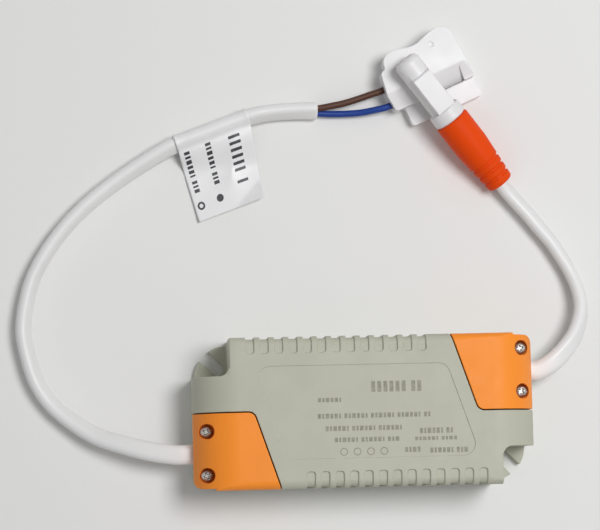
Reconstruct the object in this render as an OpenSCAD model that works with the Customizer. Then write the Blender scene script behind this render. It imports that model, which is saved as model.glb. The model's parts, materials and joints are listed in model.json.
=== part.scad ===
// LED driver: a two-part moulded housing with screw-down end caps, a mains lead that ends in a
// two-pole terminal block, and an output lead that ends in a round plug. Lengths in millimetres.
// +X runs from the mains end to the output end, +Z is up, the origin is under the housing's middle.

/* [Housing] */
// Overall length of the housing
body_l = 116; // [108:1:136]
// Overall width of the housing
body_w = 51; // [49:0.5:60]
// Overall height of the housing
body_h = 28; // [27:0.5:34]
// Thickness of the moulded walls
wall = 2; // [1.6:0.1:2.4]
// Height of the parting line, where the leads are gripped
split_z = 11; // [10:0.25:12]
// Radius of the long top edges
shoulder_r = 3; // [2.6:0.1:4]
// Radius of the upright corners
corner_r = 3; // [2.6:0.1:4]
// Length over which each end slopes down
nose_l = 15.5; // [14.5:0.5:17]
// Radius of the bend where the top turns down
nose_r = 16; // [14.5:0.5:17.5]
// Final slope of the ends, in degrees
nose_slope = 70; // [60:1:74]
// Set-back of the side beside each cap's screws
nose_step = 0.7; // [0.3:0.1:1.2]
// Length of that set-back
nose_step_l = 7.5; // [6.5:0.25:9]

/* [Grip grooves] */
// Number of grooves on each long side
groove_count = 13; // [6:1:13]
// Width of a groove
groove_w = 2.8; // [2:0.1:3.6]
// Distance from one groove to the next
groove_pitch = 4.83; // [4.2:0.01:4.9]
// How far a row of grooves is set off the middle, away from the cap
groove_shift = 9.8; // [8:0.2:11]
// Depth of a groove
groove_depth = 0.7; // [0.3:0.05:1]
// How far a groove reaches in over the top
groove_reach = 5.6; // [4:0.2:7]
// Corner radius at a groove's inner end
groove_r = 0.9; // [0.4:0.1:1]

/* [Label field] */
// Length of the recessed field for the label, at its middle
label_l = 65.2; // [50:0.5:68]
// Width of the field
label_w = 31.2; // [20:0.5:33]
// Depth of the field
label_depth = 0.3; // [0.2:0.05:0.6]
// Corner radius of the field
label_r = 4; // [2:0.5:6]

/* [Mounting tabs] */
// Length of the corner that is cut out over a tab
tab_l = 12.4; // [11.4:0.2:14]
// Width of the corner that is cut out over a tab
tab_w = 12.8; // [11.8:0.2:14]
// Thickness of a tab
tab_t = 3; // [2:0.25:4]
// Width of the open slot, for an M4 screw
slot_w = 4.4; // [3.4:0.1:5]
// Radius that the screw's head needs beside the walls
head_room_r = 3.5; // [3.2:0.1:4.2]
// How far the tab's rim stays inside the housing's outline
tab_inset = 1; // [0.4:0.1:1.6]

/* [End caps] */
// Length of a cap along the middle of the housing
cap_l = 20.4; // [19.5:0.2:24]
// Further length that the cap gains at the housing's side
cap_slant = 8.8; // [5:0.2:10]
// How far a cap's long edge passes the middle
cap_over = 0.7; // [0:0.1:1.4]
// Gap all round a cap
cap_gap = 0.4; // [0.2:0.05:0.6]
// Corner radius of a cap
cap_corner_r = 3; // [2:0.2:4]
// Distance of the cap screws from the end of the housing
screw_in = 4.4; // [4:0.1:5]
// Distance between a cap's two screws
screw_spacing = 14.7; // [14:0.1:15.4]
// Core diameter of the cap screws
screw_d = 2.2; // [1.8:0.1:2.6]
// Head diameter of the cap screws
screw_head_d = 4.4; // [3.8:0.1:4.6]
// Diameter of the screw recesses
recess_d = 5.2; // [4.8:0.1:5.6]
// Height of the recess floor over the parting line
seat_rise = 8; // [7:0.25:8.5]

/* [Leads] */
// Distance of each lead from the housing's middle
lead_y = 13; // [12.6:0.1:13.4]
// Width of the flat twin flex
flex_w = 6.7; // [6:0.1:7]
// Thickness of the flat twin flex
flex_t = 4.4; // [4:0.1:4.8]
// Diameter of an insulated core
core_d = 2.3; // [1.8:0.05:2.4]
// Room round a lead or a core where it is gripped
lead_clear = 0.15; // [0.05:0.05:0.25]

/* [Circuit board] */
// Thickness of the board
pcb_t = 1.6; // [1:0.2:2]
// Height of the board's underside
pcb_z = 5; // [4.4:0.1:5.4]
// Distance of the board from the ends of the housing
pcb_end = 10; // [9:0.25:11]
// Gap between the board and the side walls
pcb_side = 1; // [0.5:0.1:1.4]
// Diameter of the component legs
leg_d = 0.7; // [0.5:0.05:0.9]

/* [Terminal block] */
// Width of the terminal block along its front
block_w = 27; // [25:0.5:30]
// Depth of the terminal block at its lobes
block_l = 27.6; // [26:0.2:30]
// Height of the terminal block
block_h = 9.5; // [8.5:0.25:10.5]
// Height of the front ledge
ledge_h = 4.5; // [3.5:0.25:5]
// Distance between the two wire entries
entry_pitch = 6; // [5.6:0.1:6.6]

/* [Output plug] */
// Length of the soft boot
boot_l = 28.6; // [26:0.2:31]
// Diameter of the boot beside the plug
boot_d = 12.3; // [11.5:0.1:13]
// Diameter of the boot at the lead
boot_end_d = 9.4; // [8.6:0.1:10.4]
// Diameter of the plug's collar
collar_d = 11.8; // [11:0.1:12.6]
// Diameter of the plug's barrel
barrel_d = 9.4; // [8.6:0.1:9.8]
// Length of the plug's barrel, with its collar
barrel_l = 26.8; // [25:0.2:29]

/* [Hidden] */
$fn = 48;

// Small amount by which cutters pass the faces that they cut
eps = 0.1;
// Colours
grey = [0.76, 0.76, 0.69];
orange = [0.95, 0.52, 0.18];
boot_orange = [0.9, 0.28, 0.08];
white = [0.92, 0.92, 0.92];
steel = [0.72, 0.73, 0.74];
brass = [0.82, 0.66, 0.32];
black = [0.12, 0.12, 0.13];

// Half sizes and levels of the housing
half_l = body_l / 2;
half_w = body_w / 2;
outside = 6;
join = 2;
floor_t = wall;
nose_x = half_l - nose_l;
step_x = half_l - nose_step_l;
lip_t = 0.9;
lip_clear = 0.1;
lip_h = 2;
lip_root = 3;

// Mounting tab: the inner corner of the cut-out and the slot's round end
tab_x = -half_l + tab_l;
tab_y = half_w - tab_w;
tab_r = min(tab_l, tab_w) - tab_inset;
slot_end = [tab_x - head_room_r, tab_y + head_room_r];

// End caps
cap_x = -half_l + cap_l;
cap_slope = cap_slant / (half_w + cap_over);
cap_rim_t = 1.4;
cap_rim_h = 5;
screw_x = -half_l + screw_in;
screw_ys = [-lead_y - screw_spacing / 2, -lead_y + screw_spacing / 2];
seat_z = split_z + seat_rise;
boss_top = seat_z - wall;
boss_d = screw_d + 3.4;
recess_wall = 1.2;
screw_l = 9;
screw_head_h = 1.8;
pilot_clear = 0.1;
pilot_room = 1;
grip_t = 2.4;
sheath_in = 8.5;

// Circuit board
pcb_top = pcb_z + pcb_t;
pcb_half_l = half_l - pcb_end;
pcb_half_w = half_w - wall - pcb_side;
pcb_clear = 0.3;
post_d = 5;
pin_d = 2.4;
pin_short = 0.4;
post_in = [8.2, 2.7];
post_mid = [22, 2.5];
posts = [for (s = [-1, 1]) each [
    [s * (pcb_half_l - post_in.x), -s * (pcb_half_w - post_in.y)],
    [s * post_mid.x, s * (pcb_half_w - post_mid.y)]]];
leg_out = 1.5;
leg_clear = 0.15;

// Board terminals, seen from the mains end; the output end is the same turned half round
terminal_size = [10, 11, split_z - pcb_top + 5];
terminal_x = -pcb_half_l + 1.5;
terminal_pitch = 5;
terminal_hole_l = 6;
spring_size = [3, 3.2, 6.4];
spring_clear = 0.2;
spring_x = terminal_x + terminal_hole_l + spring_clear;
bare_d = core_d * 0.6;
spring_legs = [for (s = [-1, 1]) [spring_x + spring_size.x / 2, -lead_y + s * terminal_pitch / 2]];

// Places of the components on the board, and their sizes; those along a side keep their distance from it
edge = pcb_half_w;
coil_in = 9;
can_in = 6;
fuse_in = 6.5;
disc_in = 8;
sink_in = 3.5;
opto_in = 5.5;
inductor_in = 10;
fuse_at = [-21.5, fuse_in - edge];
fuse_d = 8.4;
fuse_h = 7.8;
varistor_at = [-24, -6];
varistor_d = 10;
film_at = [-20, edge - coil_in];
film_size = [6, 13, 11.5];
choke_at = [-33, edge - coil_in];
choke_d = 13;
choke_bore = 7;
choke_h = 6;
choke_wrap = 1;
bridge_at = [-24, 1.2];
bridge_size = [14.5, 3.5, 11];
bulk_at = [-9, coil_in - edge];
bulk_d = 12.5;
bulk_h = 16;
chip_at = [-12, 6];
chip_size = [5, 4, 1.6];
sink_at = [-2, edge - sink_in];
sink_l = 20;
sink_t = 2;
sink_foot = [4, 4, 1.5];
transistor_x = -8;
package_size = [10, 4.4, 9];
package_tab_h = 15.4;
package_tab_t = 1.3;
package_leg_h = 1;
package_hole_d = 3.4;
package_hole_z = pcb_top + package_leg_h + package_tab_h - 3;
sink_screw_d = 2.5;
sink_screw_head = [4.4, 1.8];
transformer_at = [7.5, 0.5];
core_size = [20, 20, 6.5];
core_leg = 6;
core_back = 3.5;
core_side = 2.8;
bobbin_t = 0.8;
bobbin_half = 7.5;
bobbin_clear = 0.15;
bobbin_flange_t = 1;
safety_at = [7.5, disc_in - edge];
safety_d = 8;
opto_at = [14, edge - opto_in];
opto_size = [4.6, 6.4, 3.5];
diode_at = [21.5, 3];
diode_d = 5.3;
diode_l = 9.5;
inductor_at = [pcb_half_l - inductor_in, -8.5];
inductor_d = 9;
inductor_h = 10;
output_cap_xs = [19, 28];
output_cap_ats = [for (x = output_cap_xs) [x, can_in - edge]];
output_cap_d = 8;
output_cap_h = 12;
disc_t = 3.6;
stand = 1;

// Legs of each component, which the board's holes follow
function two(at, pitch, along) = [for (s = [-1, 1]) at + s * pitch / 2 * along];
function row(at, pitch, count) = [for (k = [0 : count - 1]) at + [(k - (count - 1) / 2) * pitch, 0]];
lead_pitch = 5;
pin_pitch = 2.54;
film_pitch = 10;
bridge_pitch = 3.8;
choke_leg_in = 1.2;
transistor_leg_y = 1.6;
opto_leg_out = 0.6;
diode_pitch = diode_l + 5;
output_cap_pitch = 3.5;
fuse_legs = two(fuse_at, lead_pitch, [1, 0]);
varistor_legs = two(varistor_at, lead_pitch, [1, 0]);
film_legs = two(film_at, film_pitch, [0, 1]);
choke_legs = [for (a = [45 : 90 : 315]) choke_at + (choke_d / 2 - choke_leg_in) * [cos(a), sin(a)]];
bridge_legs = row(bridge_at, bridge_pitch, 4);
bulk_legs = two(bulk_at, lead_pitch, [1, 0]);
package_y = sink_at.y - sink_t / 2 - package_tab_t / 2;
transistor_legs = row([transistor_x, package_y - transistor_leg_y], pin_pitch, 3);
bobbin_leg_y = core_size.y / 2 - core_back;
bobbin_legs = [for (s = [-1, 1]) each row(transformer_at + [0, s * bobbin_leg_y], lead_pitch, 3)];
safety_legs = two(safety_at, lead_pitch, [1, 0]);
opto_leg_y = opto_size.y / 2 + opto_leg_out;
opto_legs = [for (s = [-1, 1]) each row(opto_at + [0, s * opto_leg_y], pin_pitch, 2)];
diode_legs = two(diode_at, diode_pitch, [0, 1]);
inductor_legs = two(inductor_at, lead_pitch, [0, 1]);
output_cap_legs = [for (at = output_cap_ats) each two(at, output_cap_pitch, [1, 0])];
function turned(points) = [for (p = points) -p];
board_legs = concat(fuse_legs, varistor_legs, film_legs, choke_legs, bridge_legs, bulk_legs,
    transistor_legs, bobbin_legs, safety_legs, opto_legs, diode_legs, inductor_legs,
    output_cap_legs, spring_legs, turned(spring_legs));

// Terminal block: where its front left corner lies, and its heading
block_at = [21.5, 99.5];
block_turn = 24;
entry_v = 10;
entry_z = 4;
tower_out = 4.6;
tower_v = [7, 21.5];
slope_v = [7.6, 13.6];
slope_rise = 2.8;
side_lean = 0.2;
ramp_u = [7.2, 22.8];
ramp_v = 13.2;
ramp_low = 0.4;
lobe_r = 4;
block_spring = [5, 4, 5.6];
block_spring_u = 1.6;
block_floor = 1;
entry_short = 0.2;
entry_flare = 2.4;
entry_out = 0.5;
ledge_r = 1.2;
spring_back = 1;

// Output plug: where the lead enters its boot, and its heading and lean
plug_at = [51.5, 79];
plug_turn = 129;
plug_lean = 12;
plug_roll = 60;
plug_lead_in = 5;
table_gap = 0.05;
plug_z = boot_end_d / 2 * cos(plug_lean) + table_gap;
plug_dir = [cos(plug_lean) * cos(plug_turn), cos(plug_lean) * sin(plug_turn), sin(plug_lean)];
boot_rings = [2.6, 5.6, 8.6];
collar_l = 4.8;
moulded_edge = 0.5;
pad_size = [14.9, 7.2, 1];
socket_d = 2.4;
socket_bore = 1.5;
socket_l = 12;
socket_in = 0.5;
socket_pitch = 4;

// Tag: folded round the mains lead, with its flag lying on the table
tag_at = [-49, 98.6];
tag_turn = 20;
tag_l = 27;
tag_flag = 28.2;
tag_far = [-15.3, 9];
tag_join = 0.5;
tag_t = 0.35;
tag_roll = 55;
tag_lead_z = 3.9;
tag_curl = 1.2;
tag_root = 7.5;

// Routes of the leads: x, y, height and roll of the flat flex, in degrees
input_route = [[-64, -13, 11, 0], [-73, -11.5, 10, 15], [-82, -9, 8, 30], [-90.5, -6, 5.8, 42],
    [-98.5, -1, 4.2, 52], [-105.5, 5, 3.5, 60], [-110.5, 12.5, 3.4, 60], [-113.5, 21.5, 3.4, 62],
    [-115, 30.5, 3.4, 64], [-114, 39.5, 3.4, 66], [-111.5, 48.5, 3.4, 68], [-107, 57, 3.4, 70],
    [-101.5, 64.5, 3.4, 70], [-95, 71.5, 3.4, 68], [-88, 77.5, 3.4, 64], [-80.5, 83, 3.4, 60],
    [-72, 88.5, 3.5, 57], [-63, 93.5, 3.9, 55], [-49.25, 98.5, 3.9, 55], [-35.5, 103.5, 3.9, 55],
    [-28, 105, 3.5, 60], [-20, 105.5, 3.4, 56], [-12, 105.5, 3.4, 50]];
output_route = [[61, 13, 11, 0], [66, 15.5, 11, 8], [70.5, 19.5, 10.2, 25], [74.5, 24.5, 8.9, 42],
    [77, 30, 7.4, 58], [78, 36, 5.8, 70], [77, 42, 4.5, 75], [75, 47.5, 3.6, 74],
    [72, 53, 3.4, 70], [68.5, 58.5, 3.4, 66], [64.5, 63.5, 3.4, 62], [60.5, 68.5, 3.5, 60]];
line_route = [[-11.7, 106.25, 4.25], [-7.5, 107, 4.2], [-2.5, 108, 4.1], [2.5, 109.5, 4], [7, 111, 4]];
neutral_route = [[-11.7, 104.75, 2.55], [-7.5, 104.5, 2.4], [-2.5, 104.5, 2.4], [3, 104.75, 2.8],
    [8, 105.5, 3.6]];

// Helpers for points and outlines
function unit(v) = v / norm(v);
function arc_corner(a, b, c, r, steps = 8) =
    let (u = unit(a - b), v = unit(c - b), half = acos(u * v) / 2,
        centre = b + unit(u + v) * r / sin(half), t = r / tan(half),
        from = unit(b + u * t - centre), to = unit(b + v * t - centre))
    [for (k = [0 : steps]) centre + r * unit(from * (steps - k) + to * k)];
function rounded(points, radii) = let (n = len(points)) [for (i = [0 : n - 1]) each
    radii[i] == 0 ? [points[i]]
    : arc_corner(points[(i + n - 1) % n], points[i], points[(i + 1) % n], radii[i])];

// Points of the flat flex's outline, grown and rolled
function oval_points(grow, roll, steps = 16) = [for (k = [0 : steps - 1]) let (g = 360 * (k + 0.5) / steps,
        r = flex_t / 2 + grow, m = sign(cos(g)) * (flex_w - flex_t) / 2 + r * cos(g), h = r * sin(g))
    [m * cos(roll) - h * sin(roll), m * sin(roll) + h * cos(roll)]];

// Moves a route so that it starts at a given point, less and less towards its far end
function led_from(start, route) = let (n = len(route), shift = start - [for (k = [0 : 2]) route[0][k]])
    [for (i = [0 : n - 1]) let (f = 1 - i / (n - 1))
        [route[i].x + f * shift.x, route[i].y + f * shift.y, route[i].z + f * shift.z,
            len(route[i]) > 3 ? route[i][3] : 0]];

// Ring of points round a route's point: a flat flex of width w and thickness t, rolled by its angle
function flex_ring(route, i, w, t, sides) =
    let (n = len(route), a = route[max(i - 1, 0)], b = route[min(i + 1, n - 1)], p = route[i],
        ahead = unit([b.x - a.x, b.y - a.y, b.z - a.z]), side = unit([-ahead.y, ahead.x, 0]),
        up = cross(ahead, side))
    [for (k = [0 : sides - 1]) let (g = 360 * (k + 0.5) / sides,
            m = sign(cos(g)) * (w - t) / 2 + t / 2 * cos(g), h = t / 2 * sin(g),
            across = m * cos(p[3]) - h * sin(p[3]), over = m * sin(p[3]) + h * cos(p[3]))
        [p.x, p.y, p.z] + across * side + over * up];

// Solid that follows a route
module swept(route, w, t, sides) {
    n = len(route);
    points = [for (i = [0 : n - 1]) each flex_ring(route, i, w, t, sides)];
    ends = [[for (k = [0 : sides - 1]) k], [for (k = [sides - 1 : -1 : 0]) (n - 1) * sides + k]];
    skin = [for (i = [0 : n - 2], k = [0 : sides - 1])
        let (a = i * sides + k, b = i * sides + (k + 1) % sides)
        each [[a, a + sides, b], [b, a + sides, b + sides]]];
    polyhedron(points, concat(ends, skin));
}

// The shape once at the mains end and once turned half round at the output end
module both_ends() {
    for (turn = [0, 180]) rotate(turn) children();
}

// Flat oval of the flex, grown by a clearance
module flex_oval(grow) {
    square([flex_w - flex_t, flex_t + 2 * grow], center = true);
    for (s = [-1, 1]) translate([s * (flex_w - flex_t) / 2, 0]) circle(d = flex_t + 2 * grow);
}

// Outline of the housing seen from above, set in by i
module plan(i) {
    length = nose_l + join;
    square([2 * step_x, body_w - 2 * i], center = true);
    both_ends() {
        translate([-half_l + i, -half_w + nose_step + corner_r])
            square([length, body_w - nose_step - 2 * corner_r]);
        translate([-half_l + corner_r, -half_w + nose_step + i])
            square([length, body_w - nose_step - 2 * i]);
        for (y = [-half_w + nose_step + corner_r, half_w - corner_r])
            translate([-half_l + corner_r, y]) circle(corner_r - i);
    }
}

// Outline seen from the long side: flat on top, then bent down to a slope at each end
module side_view(i) {
    r = nose_r - i;
    bend = [nose_x + r * sin(nose_slope), body_h - nose_r + r * cos(nose_slope)];
    drop = nose_l * [cos(nose_slope), -sin(nose_slope)];
    translate([-nose_x, -eps]) square([2 * nose_x, body_h - i + eps]);
    for (m = [0, 1]) mirror([m, 0]) intersection() {
        translate([nose_x - eps, -eps]) square([nose_l + eps, body_h + eps]);
        union() {
            translate([nose_x, body_h - nose_r]) circle(r);
            polygon([[nose_x, -eps], [nose_x, body_h - nose_r], bend, bend + drop, [bend.x + drop.x, -eps]]);
        }
    }
}

// Outline seen from the end, with rounded shoulders
module end_view(i) {
    translate([-half_w + i, -eps]) square([body_w - 2 * i, body_h - shoulder_r + eps]);
    translate([-half_w + shoulder_r, -eps]) square([body_w - 2 * shoulder_r, body_h - i + eps]);
    for (s = [-1, 1]) translate([s * (half_w - shoulder_r), body_h - shoulder_r])
        circle(shoulder_r - i);
}

// Body of the housing, set in by i on every outer face but the underside
module envelope(i) {
    intersection() {
        linear_extrude(body_h) plan(i);
        rotate([90, 0, 0]) linear_extrude(2 * body_w, center = true) side_view(i);
        rotate([90, 0, 90]) linear_extrude(2 * body_l, center = true) end_view(i);
    }
}

module slab(z0, z1) {
    translate([-body_l, -body_w, z0]) cube([2 * body_l, 2 * body_w, z1 - z0]);
}

// Zone of the mains cap seen from above, grown by g
module cap_zone(g) {
    far = [half_l + outside, half_w + outside];
    top = cap_over + g;
    function edge_x(y) = cap_x + (cap_over - y) * cap_slope + g * sqrt(1 + cap_slope * cap_slope);
    linear_extrude(body_h + 1) polygon(rounded(
        [[-far.x, -far.y], [edge_x(-far.y), -far.y], [edge_x(top), top], [-far.x, top]],
        [0, 0, cap_corner_r + g, 0]));
}

// Zone over the mains end's mounting tab, grown by g
module tab_zone(g) {
    far = [half_l + outside, half_w + outside];
    linear_extrude(body_h + 1) polygon(rounded(
        [[-far.x, tab_y - g], [tab_x + g, tab_y - g], [tab_x + g, far.y], [-far.x, far.y]],
        [0, head_room_r + g, 0, 0]));
}

// Space inside the housing, set in by i
module room(i) {
    difference() {
        envelope(i);
        both_ends() translate([0, 0, -eps]) tab_zone(i);
    }
}

// Straight oval way for the mains lead through wall and grip
module lead_way() {
    translate([-half_l - eps, -lead_y, split_z]) rotate([90, 0, 90])
        linear_extrude(sheath_in + join) flex_oval(lead_clear);
}

module at_screws(z) {
    for (y = screw_ys) translate([screw_x, y, z]) children();
}

// Rounded tab with its open slot
module tab() {
    linear_extrude(tab_t) difference() {
        intersection() {
            translate([tab_x, tab_y]) circle(tab_r);
            translate([tab_x - tab_l, tab_y - wall / 2]) square([tab_l + wall / 2, tab_w]);
        }
        translate(slot_end) circle(d = slot_w);
        translate(slot_end) rotate(135) translate([0, -slot_w / 2]) square([tab_l, slot_w]);
    }
}

module base_tray() {
    color(grey) difference() {
        union() {
            difference() {
                intersection() {
                    room(0);
                    slab(0, split_z);
                }
                intersection() {
                    room(wall);
                    slab(floor_t, body_h);
                }
            }
            both_ends() {
                tab();
                at_screws(floor_t - eps) cylinder(d = boss_d, h = boss_top - floor_t + eps);
                translate([screw_x - grip_t / 2, screw_ys[0], floor_t - eps])
                    cube([grip_t, screw_spacing, split_z - floor_t + eps]);
            }
            for (p = posts) translate([p.x, p.y, floor_t - eps]) {
                cylinder(d = post_d, h = pcb_z - floor_t + eps);
                cylinder(d = pin_d, h = pcb_top - pin_short - floor_t + eps);
            }
        }
        both_ends() {
            at_screws(seat_z - screw_l - pilot_room)
                cylinder(d = screw_d + pilot_clear, h = screw_l);
            lead_way();
        }
    }
}

module grip_grooves() {
    first = -(groove_count - 1) * groove_pitch / 2 - groove_shift;
    inner = half_w - groove_reach;
    for (k = [0 : groove_count - 1]) translate([first + k * groove_pitch - groove_w / 2, 0, 0])
        intersection() {
            rotate([90, 0, 90]) linear_extrude(groove_w) difference() {
                translate([inner, split_z + wall])
                    square([groove_reach + outside, body_h - split_z]);
                end_view(groove_depth);
            }
            linear_extrude(body_h + outside) polygon(rounded([[0, inner], [groove_w, inner],
                [groove_w, half_w + outside], [0, half_w + outside]], [groove_r, groove_r, 0, 0]));
        }
}

module label_field() {
    lean = cap_slope * label_w / 2;
    x = label_l / 2;
    y = label_w / 2;
    translate([0, 0, body_h - label_depth]) linear_extrude(outside) polygon(rounded(
        [[-x + lean, -y], [x + lean, -y], [x - lean, y], [-x - lean, y]],
        [for (k = [0 : 3]) label_r]));
}

module top_cover() {
    color(grey) difference() {
        union() {
            difference() {
                intersection() {
                    room(0);
                    slab(split_z, body_h);
                }
                difference() {
                    room(wall);
                    both_ends() cap_zone(wall);
                }
            }
            cover_lip();
            both_ends() partition();
        }
        both_ends() {
            translate([0, 0, -eps]) cap_zone(0);
            grip_grooves();
        }
        label_field();
    }
}

// Lip of the cover, which fits inside the tray's rim
module cover_lip() {
    difference() {
        union() {
            intersection() {
                room(wall + lip_clear);
                slab(split_z - lip_h, split_z + lip_root);
            }
            intersection() {
                room(wall - eps);
                slab(split_z, split_z + lip_root);
            }
        }
        translate([0, 0, -eps]) room(wall + lip_clear + lip_t);
        both_ends() cap_zone(wall + lip_t);
    }
}

// Wall of the cover between the electronics and a cap's wiring space
module partition() {
    intersection() {
        difference() {
            cap_zone(wall);
            translate([0, 0, -eps]) cap_zone(0);
        }
        room(wall + lip_clear);
        slab(pcb_top + pcb_clear, split_z + lip_root);
    }
}

module end_cap() {
    color(orange) difference() {
        union() {
            intersection() {
                difference() {
                    envelope(0);
                    intersection() {
                        envelope(wall);
                        cap_zone(-cap_gap - cap_rim_t);
                    }
                    intersection() {
                        envelope(wall);
                        slab(-eps, body_h - wall - cap_rim_h);
                    }
                }
                cap_zone(-cap_gap);
                slab(split_z, body_h);
            }
            intersection() {
                union() {
                    at_screws(boss_top) cylinder(d = recess_d + 2 * recess_wall, h = body_h);
                    translate([screw_x - grip_t / 2, screw_ys[0], split_z])
                        cube([grip_t, screw_spacing, body_h]);
                }
                envelope(wall / 2);
            }
        }
        at_screws(seat_z) cylinder(d = recess_d, h = body_h);
        at_screws(0) cylinder(d = screw_d + 2 * pilot_clear, h = body_h);
        at_screws(0) cylinder(d = boss_d + 2 * pilot_clear, h = boss_top);
        lead_way();
    }
}

module input_cap() {
    end_cap();
}

module output_cap() {
    rotate(180) end_cap();
}

// Pan-head screw with a cross recess, its head's underside at the origin
module cross_screw(d, head_d, head_h, length) {
    rim_h = 0.55 * head_h;
    crown_d = 0.6 * head_d;
    recess = [0.55 * head_d, 0.13 * head_d, head_h];
    difference() {
        union() {
            translate([0, 0, -length]) cylinder(d = d, h = length + eps);
            cylinder(d = head_d, h = rim_h);
            translate([0, 0, rim_h]) cylinder(d1 = head_d, d2 = crown_d, h = head_h - rim_h);
        }
        for (turn = [0, 90]) rotate(turn) translate([0, 0, head_h]) cube(recess, center = true);
    }
}

module cap_screws() {
    color(steel) both_ends() at_screws(seat_z) cross_screw(screw_d, screw_head_d, screw_head_h, screw_l);
}

module circuit_board() {
    notch = pcb_clear + wall;
    color([0.16, 0.4, 0.2]) translate([0, 0, pcb_z]) difference() {
        linear_extrude(pcb_t) square(2 * [pcb_half_l, pcb_half_w], center = true);
        both_ends() translate([0, 0, -pcb_z]) tab_zone(notch);
        for (p = board_legs) translate([p.x, p.y, -eps])
            cylinder(d = leg_d + 2 * leg_clear, h = pcb_t + 2 * eps, $fn = 16);
        for (p = posts) translate([p.x, p.y, -eps])
            cylinder(d = pin_d + 2 * leg_clear, h = pcb_t + 2 * eps);
    }
}

// Legs from under the board up to a height over it
module legs(points, rise) {
    for (p = points) translate([p.x, p.y, pcb_z - leg_out])
        cylinder(d = leg_d, h = pcb_t + leg_out + rise, $fn = 16);
}

// Box that stands on the board, centred on a point
module on_board(at, size) {
    translate([at.x - size.x / 2, at.y - size.y / 2, pcb_top]) cube(size);
}

// Two-pole push-in terminal that faces the mains lead
module board_terminal() {
    slot = [2, 2.4, 2];
    difference() {
        translate([terminal_x, -lead_y - terminal_size.y / 2, pcb_top]) cube(terminal_size);
        for (s = [-1, 1]) translate([terminal_x, -lead_y + s * terminal_pitch / 2, 0]) {
            translate([-eps, 0, split_z]) rotate([0, 90, 0])
                cylinder(d = core_d + 4 * lead_clear, h = terminal_hole_l + eps);
            translate([terminal_hole_l, -spring_size.y / 2 - lead_clear, pcb_top - eps])
                cube(spring_size + 2 * [spring_clear, lead_clear, spring_clear]);
            translate([terminal_hole_l - slot.x, -slot.y / 2, pcb_top + terminal_size.z - slot.z])
                cube(slot + [0, 0, eps]);
        }
    }
}

// Brass cages of that terminal, with their legs in the board
module terminal_springs() {
    for (p = spring_legs) {
        difference() {
            on_board(p, spring_size);
            translate([p.x, p.y, split_z]) rotate([0, 90, 0])
                cylinder(d = bare_d, h = spring_size.x + 2 * eps, center = true);
        }
    }
    legs(spring_legs, eps);
}

module input_terminal() {
    color(white) board_terminal();
}

module input_springs() {
    color(brass) terminal_springs();
}

module output_terminal() {
    color(white) rotate(180) board_terminal();
}

module output_springs() {
    color(brass) rotate(180) terminal_springs();
}

module fuse() {
    chamfer = 0.8;
    color(black) {
        translate([fuse_at.x, fuse_at.y, pcb_top]) {
            cylinder(d = fuse_d, h = fuse_h - chamfer);
            translate([0, 0, fuse_h - chamfer])
                cylinder(d1 = fuse_d, d2 = fuse_d - 2 * chamfer, h = chamfer);
        }
        legs(fuse_legs, eps);
    }
}

// Dipped disc that stands on edge on two legs
module dipped_disc(at, d, points) {
    rim = 0.8;
    translate([at.x, at.y, pcb_top + stand + d / 2]) rotate([90, 0, 0]) {
        cylinder(d = d, h = disc_t - 2 * rim, center = true);
        for (m = [0, 1]) mirror([0, 0, m]) translate([0, 0, disc_t / 2 - rim])
            cylinder(d1 = d, d2 = d - 2 * rim, h = rim);
    }
    legs(points, stand + d / 3);
}

module varistor() {
    color([0.15, 0.3, 0.62]) dipped_disc(varistor_at, varistor_d, varistor_legs);
}

module safety_capacitor() {
    color([0.2, 0.42, 0.72]) dipped_disc(safety_at, safety_d, safety_legs);
}

module film_capacitor() {
    color([0.85, 0.72, 0.2]) {
        on_board(film_at, film_size);
        legs(film_legs, eps);
    }
}

module choke_core() {
    color([0.2, 0.5, 0.3]) translate([choke_at.x, choke_at.y, pcb_top + choke_wrap]) difference() {
        cylinder(d = choke_d, h = choke_h);
        translate([0, 0, -eps]) cylinder(d = choke_bore, h = choke_h + 2 * eps);
    }
}

module choke_windings() {
    ring_w = (choke_d - choke_bore) / 2;
    wrap = choke_wrap - lead_clear;
    color([0.72, 0.4, 0.2]) {
        translate([choke_at.x, choke_at.y, pcb_top + choke_wrap + choke_h / 2])
            for (a = [30, 210]) rotate(a) rotate_extrude(angle = 120)
                translate([choke_bore / 2 + ring_w / 2, 0]) difference() {
                    square([ring_w + 2 * choke_wrap, choke_h + 2 * choke_wrap], center = true);
                    square([ring_w, choke_h] + 2 * lead_clear * [1, 1], center = true);
                }
        legs(choke_legs, wrap / 2);
    }
}

module bridge_rectifier() {
    chamfer = 3;
    x = bridge_size.x / 2;
    color(black) {
        translate([bridge_at.x, bridge_at.y, pcb_top + stand]) rotate([90, 0, 0])
            linear_extrude(bridge_size.y, center = true) polygon([[-x, 0], [x, 0],
                [x, bridge_size.z - chamfer], [x - chamfer, bridge_size.z], [-x, bridge_size.z]]);
        legs(bridge_legs, stand + eps);
    }
}

// Can of an electrolytic capacitor, with the rolled groove over its rubber end
module can(at, d, h) {
    bead = 0.5;
    bead_z = 2;
    r = d / 2;
    translate([at.x, at.y, pcb_top]) rotate_extrude() polygon([
        [0, 0], [r - bead, 0], [r, bead], [r, bead_z], [r - bead, bead_z + bead],
        [r, bead_z + 2 * bead], [r, h - bead], [r - bead, h], [0, h]]);
}

module bulk_capacitor() {
    color([0.14, 0.16, 0.24]) {
        can(bulk_at, bulk_d, bulk_h);
        legs(bulk_legs, eps);
    }
}

module output_capacitors() {
    color([0.1, 0.28, 0.22]) {
        for (at = output_cap_ats) can(at, output_cap_d, output_cap_h);
        legs(output_cap_legs, eps);
    }
}

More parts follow.
